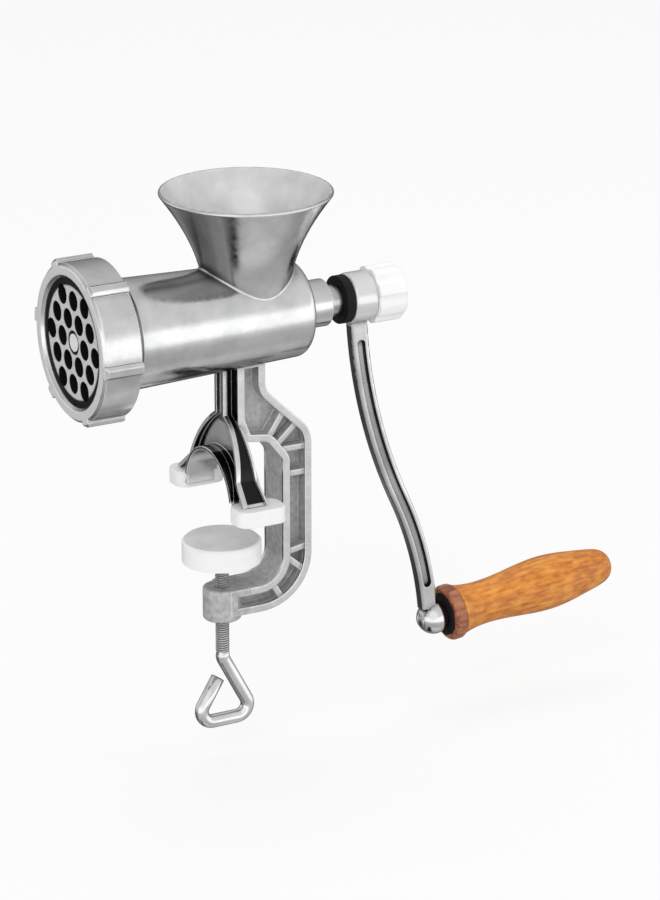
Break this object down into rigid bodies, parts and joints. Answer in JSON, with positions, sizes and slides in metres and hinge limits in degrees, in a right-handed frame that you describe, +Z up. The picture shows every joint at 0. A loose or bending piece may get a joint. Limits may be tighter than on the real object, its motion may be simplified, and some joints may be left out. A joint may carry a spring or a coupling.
{
  "type": "hand crank meat grinder",
  "caption": "Table-clamped hand grinder: flared hopper over a barrel with a worm, knife and perforated plate, S-shaped crank with a turned grip.",
  "frame": {"origin": "on the table-top plane, under the feet, on the clamp screw's axis", "axes": "+Z up, +X along the barrel towards the crank, +Y across the feet"},
  "size_m": [0.2546, 0.0704, 0.2294],
  "materials": {
    "cast_aluminium": "bright tumbled casting",
    "steel": "ground steel",
    "chrome": "bright plating",
    "zinc_rod": "bright zinc plating",
    "black_rubber": "satin black",
    "white_plastic": "smooth white",
    "grey_rubber": "flat pale grey",
    "nylon": "plain",
    "fibre": "pressed fibre",
    "wood": "varnished",
    "stained_wood": "stained and varnished"
  },
  "bodies": {
    "housing": {"body_casting": "cast_aluminium", "rear_bush": "nylon", "plate_key": "steel", "foot_pad_front": "white_plastic", "foot_pad_rear": "white_plastic"},
    "plate": {"grinding_plate": "steel"},
    "ring": {"ring_nut": "cast_aluminium"},
    "drive": {"worm_core": "cast_aluminium", "worm_flight_front": "cast_aluminium", "worm_flight_middle": "cast_aluminium", "worm_flight_rear": "cast_aluminium", "worm_shaft": "steel", "knife": "steel", "thrust_washer": "fibre", "hub_washer": "black_rubber"},
    "crank": {"crank_arm": "chrome"},
    "thumb": {"thumb_knob": "white_plastic", "thumb_screw": "steel"},
    "grip": {"wooden_grip": "wood", "grip_collar": "stained_wood", "grip_washer": "black_rubber", "grip_screw": "steel"},
    "clamp_pad": {"clamp_disc": "steel", "clamp_cap": "white_plastic", "clamp_facing": "grey_rubber"},
    "clamp_rod": {"clamp_screw": "zinc_rod"}
  },
  "joints": [
    {"name": "ring_travel", "type": "slide", "parent": "housing", "child": "plate", "axis": [-1, 0, 0], "range_m": [0, 0.012]},
    {"name": "ring_turn", "type": "hinge", "parent": "plate", "child": "ring", "pos_m": [-0.058, 0, 0.078], "axis": [-1, 0, 0], "range_deg": [0, 1440.01]},
    {"name": "crank_turn", "type": "hinge", "parent": "housing", "child": "drive", "pos_m": [0.038, 0, 0.078], "axis": [-1, 0, 0], "continuous": true},
    {"name": "crank_release", "type": "slide", "parent": "drive", "child": "crank", "axis": [1, 0, 0], "range_m": [0, 0.01]},
    {"name": "knob_turn", "type": "hinge", "parent": "crank", "child": "thumb", "pos_m": [0.074, 0, 0.078], "axis": [1, 0, 0], "range_deg": [0, 3600.01]},
    {"name": "grip_spin", "type": "hinge", "parent": "crank", "child": "grip", "pos_m": [0.10057, 0, -0.07034], "axis": [0.9954, 0, 0.0958], "continuous": true},
    {"name": "clamp_travel", "type": "slide", "parent": "housing", "child": "clamp_pad", "axis": [0, 0, 1], "range_m": [-0.011, 0.016]},
    {"name": "clamp_turn", "type": "hinge", "parent": "clamp_pad", "child": "clamp_rod", "pos_m": [0, 0, -0.044], "axis": [0, 0, 1], "range_deg": [-3960.01, 5760.01]}
  ],
  "couplings": [
    {"joint": "ring_turn", "follows": "ring_travel", "rad_per_m": 2094.4},
    {"joint": "knob_turn", "follows": "crank_release", "rad_per_m": 6283.2},
    {"joint": "clamp_turn", "follows": "clamp_travel", "rad_per_m": 6283.2}
  ]
}
